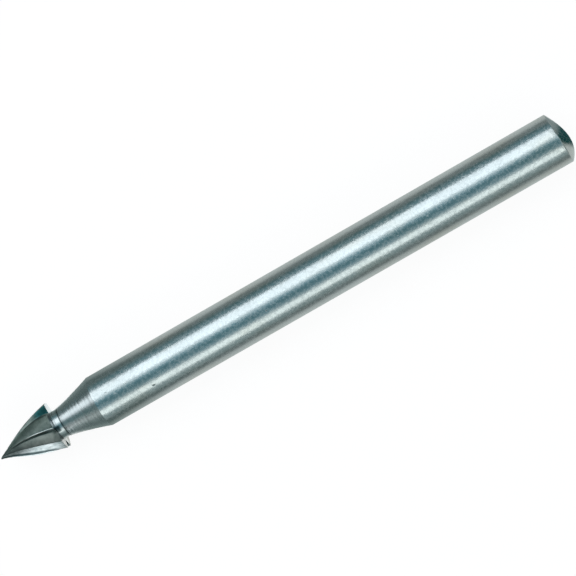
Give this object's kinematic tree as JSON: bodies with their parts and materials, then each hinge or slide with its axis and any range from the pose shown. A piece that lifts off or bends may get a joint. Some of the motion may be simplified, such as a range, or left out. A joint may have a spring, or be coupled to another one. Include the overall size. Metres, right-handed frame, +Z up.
{
  "type": "high speed rotary cutter",
  "caption": "Small rotary cutter in high speed steel: pointed cone head with spiral teeth, short neck, tapered shoulder and a plain round shank with a domed end.",
  "frame": {"origin": "on the tool's axis, in the middle of the length of shank that a collet grips", "axes": "+X along the axis from the point to the shank's domed end, +Z up with the tool lying level, -Y to the side"},
  "size_m": [0.0381, 0.0032, 0.0032],
  "materials": {
    "ground_steel": "ground and lightly polished"
  },
  "bodies": {
    "root": {"rotary_cutter": "ground_steel"}
  },
  "joints": []
}
